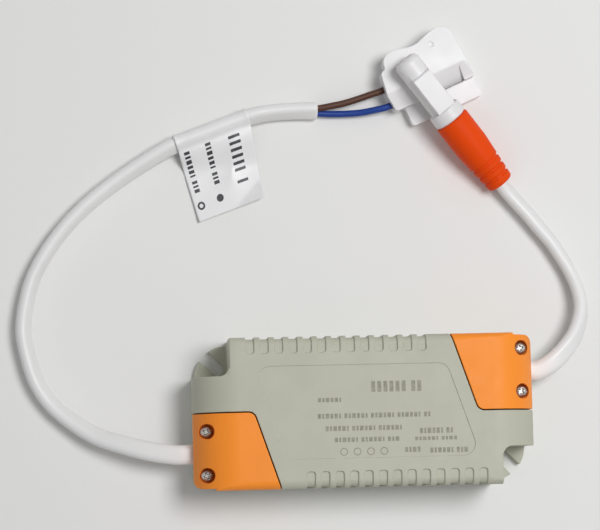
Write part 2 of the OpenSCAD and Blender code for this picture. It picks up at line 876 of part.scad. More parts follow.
module controller_chip() {
    pin = [0.4, 0.5, 0.6];
    rise = 0.2;
    pin_y = chip_size.y / 2 + pin.y / 2;
    color(black) {
        translate([0, 0, rise]) on_board(chip_at, chip_size);
        for (s = [-1, 1]) for (p = row(chip_at + [0, s * pin_y], pin_pitch / 2, 4))
            on_board(p, pin + [0, 2 * eps, 0]);
    }
}

module power_transistor() {
    z = pcb_top + package_leg_h;
    color(black) difference() {
        union() {
            translate([transistor_x - package_size.x / 2, package_y - package_tab_t / 2, z])
                cube([package_size.x, package_tab_t, package_tab_h]);
            translate([transistor_x - package_size.x / 2, package_y + package_tab_t / 2 - package_size.y, z])
                cube(package_size);
            legs(transistor_legs, package_leg_h + eps);
        }
        translate([transistor_x, package_y, package_hole_z]) rotate([90, 0, 0])
            cylinder(d = package_hole_d, h = 2 * package_size.y, center = true);
    }
}

module heatsink() {
    rim = 3.4;
    color([0.75, 0.76, 0.78]) difference() {
        union() {
            on_board(sink_at, [sink_l, sink_t, package_hole_z - pcb_top + rim]);
            on_board(sink_at + [(sink_l - sink_foot.x) / 2, -sink_foot.y / 2], sink_foot);
        }
        translate([transistor_x, sink_at.y, package_hole_z]) rotate([90, 0, 0])
            cylinder(d = sink_screw_d + pilot_clear, h = 2 * sink_t, center = true);
    }
}

module heatsink_screw() {
    color(steel) translate([transistor_x, package_y - package_tab_t / 2, package_hole_z])
        rotate([90, 0, 0])
        cross_screw(sink_screw_d, sink_screw_head[0], sink_screw_head[1], package_tab_t + sink_t);
}

// Level of the transformer's middle, the windows of its core and the way through its bobbin
transformer_z = pcb_top + bobbin_half;
window = [(core_size.x - core_leg) / 2 - core_side, core_size.y - 2 * core_back];
bobbin_hole = [core_leg, core_size.z] + 2 * bobbin_clear * [1, 1];

module at_transformer() {
    translate([transformer_at.x, transformer_at.y, transformer_z]) children();
}

module transformer_core() {
    color([0.25, 0.25, 0.26]) at_transformer() difference() {
        cube(core_size, center = true);
        for (s = [-1, 1]) translate([s * (core_leg + window.x) / 2, 0, 0])
            cube([window.x, window.y, core_size.z + 2 * eps], center = true);
    }
}

module transformer_bobbin() {
    tube = bobbin_hole + 2 * bobbin_t * [1, 1];
    flange = [core_leg + 2 * (window.x - bobbin_clear), bobbin_flange_t, 2 * bobbin_half];
    flange_y = window.y / 2 - bobbin_clear - bobbin_flange_t / 2;
    rail = [flange.x, 3.4, 3];
    rail_y = flange_y + (rail.y - bobbin_flange_t) / 2;
    color([0.2, 0.2, 0.2]) {
        at_transformer() difference() {
            union() {
                cube([tube.x, 2 * flange_y, tube.y], center = true);
                for (s = [-1, 1]) {
                    translate([0, s * flange_y, 0]) cube(flange, center = true);
                    translate([0, s * rail_y, rail.z / 2 - bobbin_half]) cube(rail, center = true);
                }
            }
            cube([bobbin_hole.x, window.y, bobbin_hole.y], center = true);
        }
        legs(bobbin_legs, eps);
    }
}

module transformer_winding() {
    wound = 2.3;
    inner = bobbin_hole + 2 * (bobbin_t + eps / 2) * [1, 1];
    length = window.y - 2 * (2 * bobbin_clear + bobbin_flange_t);
    color([0.88, 0.76, 0.3]) at_transformer() rotate([90, 0, 0]) linear_extrude(length, center = true)
        difference() {
            square(inner + 2 * wound * [1, 1], center = true);
            square(inner, center = true);
        }
}

module optocoupler() {
    rise = 0.5;
    shoulder = [0.6, 1.4, 2.4];
    color(white) {
        translate([0, 0, rise]) on_board(opto_at, opto_size);
        for (p = opto_legs) on_board(p, shoulder);
        legs(opto_legs, eps);
    }
}

module output_diode() {
    rise = diode_d / 2 + 0.4;
    color(black) {
        translate([diode_at.x, diode_at.y, pcb_top + rise]) rotate([90, 0, 0]) {
            cylinder(d = diode_d, h = diode_l, center = true);
            cylinder(d = leg_d, h = diode_pitch + leg_d, center = true, $fn = 16);
        }
        legs(diode_legs, rise);
    }
}

module output_inductor() {
    r = inductor_d / 2;
    waist = 0.6;
    flange_h = 1.6;
    color([0.3, 0.3, 0.31]) {
        translate([inductor_at.x, inductor_at.y, pcb_top]) rotate_extrude() polygon([
            [0, 0], [r, 0], [r, flange_h], [r - waist, flange_h + waist],
            [r - waist, inductor_h - flange_h - waist], [r, inductor_h - flange_h], [r, inductor_h],
            [0, inductor_h]]);
        legs(inductor_legs, eps);
    }
}

// The mains lead starts inside its cap, leaves straight and then follows its route
input_inside = [-half_l + sheath_in, -lead_y, split_z];
input_out = [-half_l - 6, -lead_y, split_z];
output_out = [half_l + 3, lead_y, split_z];
plug_end = [plug_at.x, plug_at.y, plug_z];
input_path = concat([[each input_inside, 0], [-half_l, -lead_y, split_z, 0]],
    led_from(input_out, input_route));
output_path = concat([[half_l - sheath_in, lead_y, split_z, 0], [half_l, lead_y, split_z, 0]],
    led_from(output_out, output_route),
    [for (s = [plug_lead_in, 0]) [each (plug_end - s * plug_dir), plug_roll]]);

module input_lead() {
    color(white) swept(input_path, flex_w, flex_t, 12);
}

module output_lead() {
    color(white) swept(output_path, flex_w, flex_t, 12);
}

// Bared core inside a cap, from the sheath to the board terminal
module core_end(s) {
    twin = (flex_w - flex_t) / 2;
    pole = -lead_y + s * terminal_pitch / 2;
    x = terminal_x - input_inside.x;
    swept([[input_inside.x, -lead_y + s * twin, split_z, 0],
        [input_inside.x + x / 4, -lead_y + s * twin, split_z, 0],
        [terminal_x - x / 4, pole, split_z, 0],
        [terminal_x + 1, pole, split_z, 0], [terminal_x + terminal_hole_l, pole, split_z, 0]],
        core_d, core_d, 8);
}

module line_core_end() {
    color([0.4, 0.22, 0.12]) core_end(1);
}

module neutral_core_end() {
    color([0.12, 0.3, 0.75]) core_end(-1);
}

module plus_core_end() {
    color([0.75, 0.1, 0.1]) rotate(180) core_end(1);
}

module minus_core_end() {
    color(black) rotate(180) core_end(-1);
}

// Point of the terminal block's own frame: along its front, back from it, and up
function block_point(u, v, z) = [block_at.x + u * cos(block_turn) - v * sin(block_turn),
    block_at.y + u * sin(block_turn) + v * cos(block_turn), z];

// Core from the sheath's far end into the terminal block
module free_core(route, v) {
    mouth = -tower_out - entry_out;
    inside = [for (u = [mouth, block_spring_u - entry_short]) [each block_point(u, v, entry_z), 0]];
    start = [for (k = [0 : 2]) route[0][k]];
    swept(concat(led_from(start, route), inside), core_d, core_d, 8);
}

module line_core() {
    color([0.4, 0.22, 0.12]) free_core(line_route, entry_v + entry_pitch);
}

module neutral_core() {
    color([0.12, 0.3, 0.75]) free_core(neutral_route, entry_v);
}

// Folded tag: a sleeve that hugs the flex, and a slanting flag that lies on the table and curls a little
module lead_tag() {
    steps = 8;
    function lift(k) = tag_curl * pow(k / steps, 3) + tag_root * pow(1 - k / steps, 4);
    function out(k) = tag_join - tag_flag * k / steps;
    module along_lead(length) {
        rotate([90, 0, 90]) linear_extrude(length, center = true) children();
    }
    color([0.93, 0.93, 0.93]) translate([tag_at.x, tag_at.y, 0]) rotate(tag_turn) difference() {
        union() {
            along_lead(tag_l) translate([0, tag_lead_z]) polygon(oval_points(lead_clear + tag_t, tag_roll));
            intersection() {
                along_lead(2 * tag_l) polygon(concat([for (k = [0 : steps]) [out(k), table_gap + lift(k)]],
                    [for (k = [steps : -1 : 0]) [out(k), table_gap + tag_t + lift(k)]]));
                linear_extrude(tag_flag) polygon([[-tag_l / 2, tag_join + eps], [tag_l / 2, tag_join + eps],
                    [tag_far[1], -tag_flag], [tag_far[0], -tag_flag]]);
            }
        }
        along_lead(2 * tag_l) translate([0, tag_lead_z]) polygon(oval_points(lead_clear, tag_roll));
    }
}

// Places the terminal block's own frame on the table
module at_block() {
    translate([block_at.x, block_at.y, 0]) rotate(block_turn) children();
}

// Outline of the block's raised part: a tower for the wire entries, and two rounded lobes at the back
module block_outline() {
    saddle = [0.42 * block_w, block_l - 2.6];
    right_lobe = [block_w - 1.6, block_w - 7.5];
    left_lobe = [4.5, -0.5];
    left_back = block_l - 1;
    tower_front = 1 - tower_out;
    tower_back = [-1.4, 1.4 - tower_out];
    tower_mid = tower_v[0] + 6;
    polygon(rounded([[tower_front, tower_v[0]], [block_w - side_lean, tower_v[0]],
        [right_lobe[0], block_l], [right_lobe[1], block_l], saddle,
        [left_lobe[0], left_back], [left_lobe[1], left_back],
        [tower_back[0], tower_v[1]], [tower_back[1], tower_v[1]], [-tower_out, tower_mid]],
        [1.2, 0.6, lobe_r, 6, 8, 6, lobe_r, 1, 1.5, 4]));
}

module connector_body() {
    dimple = [17, 23];
    dimple_d = 1.8;
    dimple_depth = 0.4;
    slope_z = ledge_h + slope_rise;
    front = tower_v[0] - join;
    back = block_l + join;
    hole_start = -tower_out - join;
    color(white) at_block() difference() {
        union() {
            linear_extrude(ledge_h) polygon(rounded(
                [[0, 0], [block_w, 0], [block_w - side_lean, tower_v[0] + join], [0, tower_v[0] + join]],
                [ledge_r, ledge_r, 0, 0]));
            intersection() {
                linear_extrude(block_h) block_outline();
                rotate([90, 0, 90]) linear_extrude(4 * block_w, center = true) polygon([
                    [front, 0], [back, 0], [back, block_h], [slope_v[1], block_h],
                    [slope_v[0], slope_z], [front, slope_z]]);
            }
        }
        for (k = [0, 1]) translate([0, entry_v + k * entry_pitch, 0]) {
            translate([hole_start, 0, entry_z]) rotate([0, 90, 0])
                cylinder(d = core_d + 4 * lead_clear, h = block_spring_u - hole_start);
            translate([-tower_out - entry_out, 0, entry_z]) rotate([0, 90, 0])
                cylinder(d1 = core_d + entry_flare, d2 = core_d, h = entry_flare);
            translate([block_spring_u, -block_spring.y / 2, block_floor] - lead_clear * [1, 1, 0])
                cube(block_spring + 2 * lead_clear * [1, 1, 1]);
        }
        translate([ramp_u[0], 0, 0]) rotate([90, 0, 90]) linear_extrude(ramp_u[1] - ramp_u[0]) polygon([
            [front, ledge_h + ramp_low], [tower_v[0], ledge_h + ramp_low], [ramp_v, block_h],
            [ramp_v, block_h + join], [front, block_h + join]]);
        translate([dimple.x, dimple.y, block_h - dimple_depth]) cylinder(d = dimple_d, h = block_h);
    }
}

module connector_springs() {
    color(brass) at_block() for (k = [0, 1])
        translate([block_spring_u, entry_v + k * entry_pitch - block_spring.y / 2, block_floor])
        difference() {
            cube(block_spring);
            translate([-eps, block_spring.y / 2, entry_z - block_floor]) rotate([0, 90, 0])
                cylinder(d = bare_d, h = block_spring.x - spring_back);
        }
}

// Places the plug's own frame: its axis is X, from the lead to the tip
module at_plug() {
    translate(plug_end) rotate([0, 0, plug_turn]) rotate([0, -plug_lean, 0]) children();
}

// Solid turned about the plug's axis from an outline of distance and radius
module turned_on_axis(points) {
    rotate([0, 90, 0]) rotate_extrude() polygon([for (p = points) [p.y, p.x]]);
}

module plug_boot() {
    ring_w = 1.2;
    ring_cut = 0.45;
    ring_lean = 0.2;
    spine = [1, 1.6];
    taper_l = boot_l * 0.6;
    taper = (boot_d - boot_end_d) / 2 / taper_l;
    function radius(s) = min(boot_d / 2, boot_end_d / 2 + taper * s);
    color(boot_orange) at_plug() {
        turned_on_axis(concat(
            [[0, 0], [0, radius(0) - moulded_edge], [moulded_edge, radius(moulded_edge)]],
            [for (s = boot_rings) each [[s, radius(s)], [s + ring_lean, radius(s) - ring_cut],
                [s + ring_w - ring_lean, radius(s) - ring_cut], [s + ring_w, radius(s + ring_w)]]],
            [[taper_l, boot_d / 2], [boot_l - moulded_edge, boot_d / 2],
                [boot_l, boot_d / 2 - moulded_edge], [boot_l, 0]]));
        translate([spine[0], -spine[1] / 2, 0])
            cube([boot_rings[2] + 2 * ring_w - spine[0], spine[1], radius(spine[0]) - eps]);
    }
}

module plug_body() {
    tip = 2.4;
    steps = 6;
    r = barrel_d / 2;
    rim = collar_d / 2;
    pad_top = r + pad_size.z;
    color(white) at_plug() translate([boot_l, 0, 0]) difference() {
        union() {
            turned_on_axis(concat([[0, 0], [0, rim - moulded_edge], [moulded_edge, rim],
                [collar_l - moulded_edge, rim], [collar_l, rim - moulded_edge], [collar_l, r]],
                [for (k = [0 : steps]) [barrel_l - tip + tip * sin(90 * k / steps),
                    r - tip + tip * cos(90 * k / steps)]], [[barrel_l, 0]]));
            translate([collar_l - eps, 0, 0]) rotate([90, 0, 0]) linear_extrude(pad_size.y, center = true)
                polygon([[0, 0], [pad_size.x, 0], [pad_size.x, pad_top - moulded_edge],
                    [pad_size.x - moulded_edge, pad_top], [0, pad_top]]);
        }
        for (s = [-1, 1]) translate([barrel_l - socket_l - socket_in, s * socket_pitch / 2, 0])
            rotate([0, 90, 0]) cylinder(d = socket_d + 2 * lead_clear, h = socket_l + join);
    }
}

module plug_sockets() {
    floor_h = 2;
    color(brass) at_plug() translate([boot_l + barrel_l - socket_l - socket_in, 0, 0])
        for (s = [-1, 1]) translate([0, s * socket_pitch / 2, 0]) rotate([0, 90, 0]) difference() {
            cylinder(d = socket_d, h = socket_l, $fn = 24);
            translate([0, 0, floor_h]) cylinder(d = socket_bore, h = socket_l, $fn = 24);
        }
}

base_tray();
top_cover();
input_cap();
output_cap();
cap_screws();
circuit_board();
input_terminal();
input_springs();
output_terminal();
output_springs();
fuse();
varistor();
film_capacitor();
choke_core();
choke_windings();
bridge_rectifier();
bulk_capacitor();
controller_chip();
power_transistor();
heatsink();
heatsink_screw();
transformer_core();
transformer_bobbin();
transformer_winding();
safety_capacitor();
optocoupler();
output_diode();
output_inductor();
output_capacitors();
input_lead();
line_core_end();
neutral_core_end();
line_core();
neutral_core();
lead_tag();
connector_body();
connector_springs();
output_lead();
plus_core_end();
minus_core_end();
plug_boot();
plug_body();
plug_sockets();
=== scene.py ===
import json
import math

import bmesh
import bpy
from mathutils import Matrix, Vector


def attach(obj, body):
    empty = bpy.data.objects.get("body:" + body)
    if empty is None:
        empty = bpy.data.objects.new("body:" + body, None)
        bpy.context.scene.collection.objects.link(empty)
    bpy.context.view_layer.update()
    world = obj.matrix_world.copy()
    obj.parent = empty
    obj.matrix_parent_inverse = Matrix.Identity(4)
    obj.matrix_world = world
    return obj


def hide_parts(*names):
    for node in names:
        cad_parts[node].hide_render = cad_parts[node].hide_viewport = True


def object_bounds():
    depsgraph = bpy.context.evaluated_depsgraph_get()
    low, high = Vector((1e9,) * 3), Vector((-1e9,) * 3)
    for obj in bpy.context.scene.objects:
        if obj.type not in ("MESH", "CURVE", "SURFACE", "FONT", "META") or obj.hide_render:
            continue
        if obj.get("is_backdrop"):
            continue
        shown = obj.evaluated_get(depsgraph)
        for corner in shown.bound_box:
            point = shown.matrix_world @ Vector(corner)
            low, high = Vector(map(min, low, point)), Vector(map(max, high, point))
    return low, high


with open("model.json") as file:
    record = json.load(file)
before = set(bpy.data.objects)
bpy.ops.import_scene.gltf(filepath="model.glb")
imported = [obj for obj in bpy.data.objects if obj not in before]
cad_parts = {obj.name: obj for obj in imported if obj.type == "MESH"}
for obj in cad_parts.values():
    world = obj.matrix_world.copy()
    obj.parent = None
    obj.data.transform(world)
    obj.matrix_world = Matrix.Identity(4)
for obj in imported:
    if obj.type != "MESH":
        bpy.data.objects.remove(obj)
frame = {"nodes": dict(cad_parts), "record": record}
cad_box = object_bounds()
nodes = frame["nodes"]
scene = bpy.context.scene
scene.view_settings.view_transform = "Standard"

# Sizes in this file are millimetres and degrees; Blender's own unit is the metre
MM = 0.001
BODY = "root"

# Camera, where the photograph was taken from
CAMERA_AT = (-78.9, -21.3, 800)
CAMERA_TURN = (5.32, -4.14, -1.41)
CAMERA_LENS = 138.88
CAMERA_SENSOR = 36

# Floor and light: the floor passes into the background between two distances; lamps have a place, a width
# and a power in watts
FLOOR_SIZE = 6000
FLOOR_DROP = 0.02
FLOOR_COLOUR = (0.82, 0.82, 0.81)
FLOOR_FADE = (260, 900)
WORLD_LIGHT = 0.3
WORLD_SEEN = 0.85
LAMPS = [
    ("key_light", (330, 180, 900), 420, 5.8),
    ("fill_light", (-700, -300, 700), 700, 0.3),
]
LIT_POINT = (0, 40, 10)

# Flat twin flex and its cores: section, rounding of a free end and of one held in the boot, and fineness;
# route points have a roll as their fourth number
FLEX_W = 6.7
FLEX_T = 4.4
FLEX_END = 0.9
HELD_END = 0.1
FLEX_SIDES = 32
FLEX_STEPS = 7
CORE_D = 2.3
CORE_END = 0.2
CORE_SIDES = 20
CORE_STEPS = 6
END_ANGLES = (0, 30, 60, 90)
INPUT_EXIT = (-58, -13, 11)
OUTPUT_EXIT = (58, 13, 11)
INPUT_ROUTE = [
    (-49.5, -13, 11, 0), (-58, -13, 11, 0), (-64, -13, 11, 0), (-73, -11.5, 10, 15), (-82, -9, 8, 30),
    (-90.5, -6, 5.8, 42), (-98.5, -1, 4.2, 52), (-105.5, 5, 3.5, 60), (-110.5, 12.5, 3.4, 60),
    (-113.5, 21.5, 3.4, 62), (-115, 30.5, 3.4, 64), (-114, 39.5, 3.4, 66), (-111.5, 48.5, 3.4, 68),
    (-107, 57, 3.4, 70), (-101.5, 64.5, 3.4, 70), (-95, 71.5, 3.4, 68), (-88, 77.5, 3.4, 64),
    (-80.5, 83, 3.4, 60), (-72, 88.5, 3.5, 57), (-63, 93.5, 3.9, 55), (-49.25, 98.5, 3.9, 55),
    (-35.5, 103.5, 3.9, 55), (-28, 105, 3.5, 60), (-20, 105.5, 3.4, 56), (-12, 105.5, 3.4, 50),
]
OUTPUT_ROUTE = [
    (49.5, 13, 11, 0), (58, 13, 11, 0), (61, 13, 11, 0), (66, 15.5, 11, 8), (70.5, 19.5, 10.2, 25),
    (74.5, 24.5, 8.9, 42), (77, 30, 7.4, 58), (78, 36, 5.8, 70), (77, 42, 4.5, 75), (75, 47.5, 3.6, 74),
    (72, 53, 3.4, 70), (68.5, 58.5, 3.4, 66), (64.5, 63.5, 3.4, 62), (60.5, 68.5, 3.5, 60),
]
LINE_ROUTE = [
    (-14, 106.25, 4.25, 0), (-11.7, 106.25, 4.25, 0), (-7.5, 107, 4.2, 0), (-2.5, 108, 4.1, 0),
    (2.5, 109.5, 4, 0), (7, 111, 4, 0),
]
NEUTRAL_ROUTE = [
    (-14, 104.75, 2.55, 0), (-11.7, 104.75, 2.55, 0), (-7.5, 104.5, 2.4, 0), (-2.5, 104.5, 2.4, 0),
    (3, 104.75, 2.8, 0), (8, 105.5, 3.6, 0),
]
INPUT_LENGTH = 228
OUTPUT_LENGTH = 94
LINE_LENGTH = 32
NEUTRAL_LENGTH = 34

# Output plug and terminal block, as they lie in the frame
PLUG_AT = (51.5, 79)
PLUG_TURN = 129
PLUG_LEAN = 12
PLUG_ROLL = 60
PLUG_LEAD_IN = 5
BOOT_END_D = 9.4
TABLE_GAP = 0.05
BLOCK_AT = (21.5, 99.5)
BLOCK_TURN = 24
ENTRY_VS = (16, 10)
ENTRY_US = (-5.1, 1.4)
ENTRY_Z = 4

# Tag on the mains lead: a strip folded round it, with both layers of its flag on the table
TAG_AT = (-49, 98.6)
TAG_TURN = 20
TAG_L = 27
TAG_FAR = (-15.3, 9)
TAG_ROOT = 2.6
TAG_FLAG = 25.1
TAG_REST = 0.1
TAG_STEP = 4.7
TAG_DROP = (7.5, 15)
TAG_CURL = 1.2
TAG_LEAD_Z = 3.9
TAG_ROLL = 55
TAG_HUG = 0.25
TAG_FLARE = 0.4
TAG_FLARE_L = 0.9
TAG_PAPER = 0.12
TAG_LAYER = 0.25
TAG_CELLS = 40
SLEEVE_ANGLES = range(65, -266, -30)
SLEEVE_STEPS = 3
# Creases of the flag: two points, along the lead and away from it, then width and height; they fade in
# over a length from the lead
TAG_CREASES = [
    ((21.5, -2), (16.5, 14), 4.5, 1.1),
    ((0, 12), (9, 9), 4.0, 0.4),
]
TAG_CREASE_IN = 5
# Lifted corner of the flag: a point of its fold, the direction in which it lifts, and its slope
TAG_CORNER = ((27, 18.5), (0.5, 0.866), 0.42)

# Moulded pieces with rounded edges: how wide, and how fast the rounding widens away from a tight spot
SOFT_EDGES = {
    "base_tray": (0.3, 0), "top_cover": (0.25, 0), "input_cap": (0.22, 0), "output_cap": (0.22, 0),
    "connector_body": (0.3, 0), "plug_body": (0.25, 0.3), "plug_boot": (0.2, 0.3),
}
EDGE_SEGMENTS = 3
FLAT_ANGLE = 0.4
SHARP_ANGLE = 36
# Runs of edges: greatest turn, what stands for no turn (in radians), least share of the width that is still
# rounded, and shares of the room that a rounding may take
RUN_TURN = 60
NO_TURN = 0.001
LEAST_SOFT = 0.15
RUN_ROOM = 0.4
SHARED_ROOM = 0.45
FREE_ROOM = 0.9
# Cleaning: distances within which points are one, and the piece whose narrow folds and slivers are mended
WELD_GAP = 0.002
CLEAN_GAP = 0.02
MENDED = "connector_body"
FOLD_ANGLE = 140
FOLD_SIZE = 0.32
FOLD_TURNS = 12
SLIVER = 0.04

# Cap screws
SCREW_AT = [(-53.6, -20.35), (-53.6, -5.65), (53.6, 20.35), (53.6, 5.65)]
SCREW_TURNS = (24, 68, 12, 51)
SCREW_SEAT_Z = 19
SCREW_D = 2.2
SCREW_L = 9
SCREW_TIP = 1
SCREW_SIDES = 48
AXIS_R = 0.05
HEAD_D = 4.4
HEAD_H = 1.8
HEAD_RIM = 0.7
HEAD_CHAMFER = 0.1
DOME_STEP = 10
CROSS_L = 3.0
CROSS_W = 0.9
CROSS_DEPTH = 1.3
CROSS_TAPER = 0.55
CROSS_OVER = 0.3
SCREW_EDGE = 0.05
SCREW_SHARP = 40

# Plain blocks that stand for print: their widths in turn, and a wider gap after each group
BLOCK_WIDTHS = (1.0, 0.7, 1.2, 0.9, 1.1, 0.6)
GROUP = 6
GROUP_GAP = 2.6

# Print on the label field: rows of blocks as start, stop, height of the middle, block height
LABEL_Z = 27.7
INK_RISE = 0.03
LABEL_CELL = 4
LABEL_GAP = 0.45
LABEL_ROWS = [
    (-16.3, -7.3, 3.9, 1.4), (-16.5, 22, -1.5, 1.6), (-14, 12.7, -5.7, 1.6), (-11, 11, -9.5, 1.5),
    (17.7, 29.5, -7, 1.8), (16, 31.4, -9.6, 1.2), (12.5, 18.5, -13.2, 1.7), (21, 34.4, -13.6, 1.7),
]
LABEL_TITLE = (1.7, 19.9, 8.1, 3.6)
LABEL_TITLE_WIDTHS = (1.3,)
LABEL_TITLE_GAP = 0.75
LABEL_SIGNS = [(-8, -13.5), (-3.5, -13.5), (1, -13.5), (5.5, -13.5)]
SIGN_RADII = (1.0, 1.3)

# Print on the tag's flag: rows of blocks as start and stop away from the lead, middle along it, height;
# a ring and a dot as place and radii
TAG_INK_RISE = 0.07
TAG_CELL = 0.7
TAG_GAP = 0.6
TAG_ROWS = [(1.0, 15.6, 2.7, 2.0), (0.6, 16, 10.6, 2.0)]
TAG_TITLE = (1.2, 18.2, 20.2, 4.2)
TAG_TITLE_WIDTHS = (1.0,)
TAG_TITLE_GAP = 1.2
TAG_RING = (20, 2.6, 0.75, 1.45)
TAG_DOT = (19.7, 10.3, 0, 1.35)


# Camera, floor and light

def linked(name, data):
    """New object with that data, in the scene."""
    made = bpy.data.objects.new(name, data)
    scene.collection.objects.link(made)
    return made


def aimed(made, at, target):
    made.location = Vector(at) * MM
    made.rotation_euler = (Vector(target) * MM - made.location).to_track_quat("-Z", "Y").to_euler()


def make_camera():
    data = bpy.data.cameras.new("photo_view")
    data.lens = CAMERA_LENS
    data.sensor_width = CAMERA_SENSOR
    camera = linked("photo_view", data)
    camera.location = Vector(CAMERA_AT) * MM
    camera.rotation_euler = [math.radians(a) for a in CAMERA_TURN]
    scene.camera = camera


def make_lamps():
    for name, at, size, power in LAMPS:
        data = bpy.data.lights.new(name, "AREA")
        data.shape = "DISK"
        data.size = size * MM
        data.energy = power
        aimed(linked(name, data), at, LIT_POINT)


def make_world():
    """Even pale light, which looks paler to the camera and in reflections than it lights."""
    world = bpy.data.worlds.new("studio")
    world.use_nodes = True
    tree = world.node_tree
    sky = tree.nodes["Background"]
    sky.inputs["Color"].default_value = (1, 1, 1, 1)
    path = tree.nodes.new("ShaderNodeLightPath")
    level = tree.nodes.new("ShaderNodeMapRange")
    level.inputs["To Min"].default_value = WORLD_LIGHT
    level.inputs["To Max"].default_value = WORLD_SEEN
    seen = path.outputs["Is Camera Ray"]
    for ray in ("Is Glossy Ray", "Is Transmission Ray"):
        either = tree.nodes.new("ShaderNodeMath")
        either.operation = "MAXIMUM"
        tree.links.new(seen, either.inputs[0])
        tree.links.new(path.outputs[ray], either.inputs[1])
        seen = either.outputs["Value"]
    tree.links.new(seen, level.inputs["Value"])
    tree.links.new(level.outputs["Result"], sky.inputs["Strength"])
    scene.world = world


# Materials

class Finish:
    """A principled material whose colour, gloss and relief can vary over the surface."""

    def __init__(self, name, colour, roughness, sockets=None):
        self.material = bpy.data.materials.new(name)
        self.material.use_nodes = True
        self.tree = self.material.node_tree
        self.shader = self.tree.nodes["Principled BSDF"]
        self.colour = colour
        self.roughness = roughness
        self.set("Base Color", (*colour, 1))
        self.set("Roughness", roughness)
        for socket, value in (sockets or {}).items():
            self.set(socket, value)
        self.place = self.tree.nodes.new("ShaderNodeTexCoord").outputs["Object"]
        self.relief = None

    def set(self, socket, value):
        self.shader.inputs[socket].default_value = value

    def join(self, output, target):
        self.tree.links.new(output, target)

    def noise(self, size, detail=3.0, stretch=(1, 1, 1)):
        """Noise whose spots are about that many millimetres across."""
        mapping = self.tree.nodes.new("ShaderNodeMapping")
        mapping.inputs["Scale"].default_value = stretch
        self.join(self.place, mapping.inputs["Vector"])
        node = self.tree.nodes.new("ShaderNodeTexNoise")
        node.inputs["Scale"].default_value = 1 / (size * MM)
        node.inputs["Detail"].default_value = detail
        self.join(mapping.outputs["Vector"], node.inputs["Vector"])
        return node.outputs["Fac"]

    def ranged(self, value, low, high, start=0.3, stop=0.7):
        node = self.tree.nodes.new("ShaderNodeMapRange")
        for socket, number in (("From Min", start), ("From Max", stop), ("To Min", low), ("To Max", high)):
            node.inputs[socket].default_value = number
        self.join(value, node.inputs["Value"])
        return node.outputs["Result"]

    def mottle(self, size, spread):
        """Slightly darker and lighter patches."""
        mix = self.tree.nodes.new("ShaderNodeMix")
        mix.data_type = "RGBA"
        mix.inputs["A"].default_value = (*[c * (1 - spread) for c in self.colour], 1)
        mix.inputs["B"].default_value = (*[min(1, c * (1 + spread)) for c in self.colour], 1)
        self.join(self.ranged(self.noise(size), 0, 1), mix.inputs["Factor"])
        self.join(mix.outputs["Result"], self.shader.inputs["Base Color"])
        return self

    def gloss(self, size, spread):
        """Patches of higher and lower gloss."""
        level = self.ranged(self.noise(size), self.roughness - spread, self.roughness + spread)
        self.join(level, self.shader.inputs["Roughness"])
        return self

    def grain(self, size, depth, stretch=(1, 1, 1)):
        """Relief of that depth, added to what is there already."""
        bump = self.tree.nodes.new("ShaderNodeBump")
        bump.inputs["Distance"].default_value = depth * MM
        self.join(self.noise(size, stretch=stretch), bump.inputs["Height"])
        if self.relief:
            self.join(self.relief, bump.inputs["Normal"])
        self.relief = bump.outputs["Normal"]
        self.join(self.relief, self.shader.inputs["Normal"])
        return self


def moulded(name, colour, roughness, grain_depth, shine=0.5):
    """Moulded plastic: a fine eroded grain, a faint flow pattern and patchy gloss."""
    finish = Finish(name, colour, roughness, {"Specular IOR Level": shine})
    return finish.mottle(14, 0.025).gloss(5, 0.05).grain(0.3, grain_depth).grain(4, 0.01).material


def soft_sheath(name, colour, roughness, shine=0.5):
    """Soft plastic of a lead, core or boot, with faint drawing marks."""
    finish = Finish(name, colour, roughness, {"Specular IOR Level": shine})
    return finish.mottle(20, 0.03).gloss(6, 0.06).grain(0.5, 0.006).grain(7, 0.03).material


def metal(name, colour, roughness):
    """Plated or stamped metal with fine scuffs."""
    finish = Finish(name, colour, roughness, {"Metallic": 1})
    return finish.mottle(1.2, 0.08).gloss(0.8, 0.09).grain(0.25, 0.004, (1, 6, 1)).material


def coated(name, colour, roughness):
    """Dipped, sleeved or varnished surface with a thin clear coat."""
    finish = Finish(name, colour, roughness, {"Coat Weight": 0.3, "Coat Roughness": 0.15})
    return finish.mottle(3, 0.06).gloss(2, 0.05).grain(1.5, 0.02).material


def stone(name, colour, roughness):
    """Sintered ferrite: dull, with a coarse grain."""
    return Finish(name, colour, roughness).mottle(0.8, 0.2).gloss(1.5, 0.06).grain(0.25, 0.02).material


def paper(name, colour, roughness):
    """Coated paper with a faint fibre."""
    finish = Finish(name, colour, roughness)
    return finish.mottle(6, 0.02).gloss(3, 0.06).grain(0.35, 0.006).grain(3, 0.02).material


def ink(name, colour, roughness, worn):
    """Printed ink that is thinner in places."""
    return Finish(name, colour, roughness).mottle(1.1, worn).gloss(0.8, 0.05).grain(0.2, 0.002).material


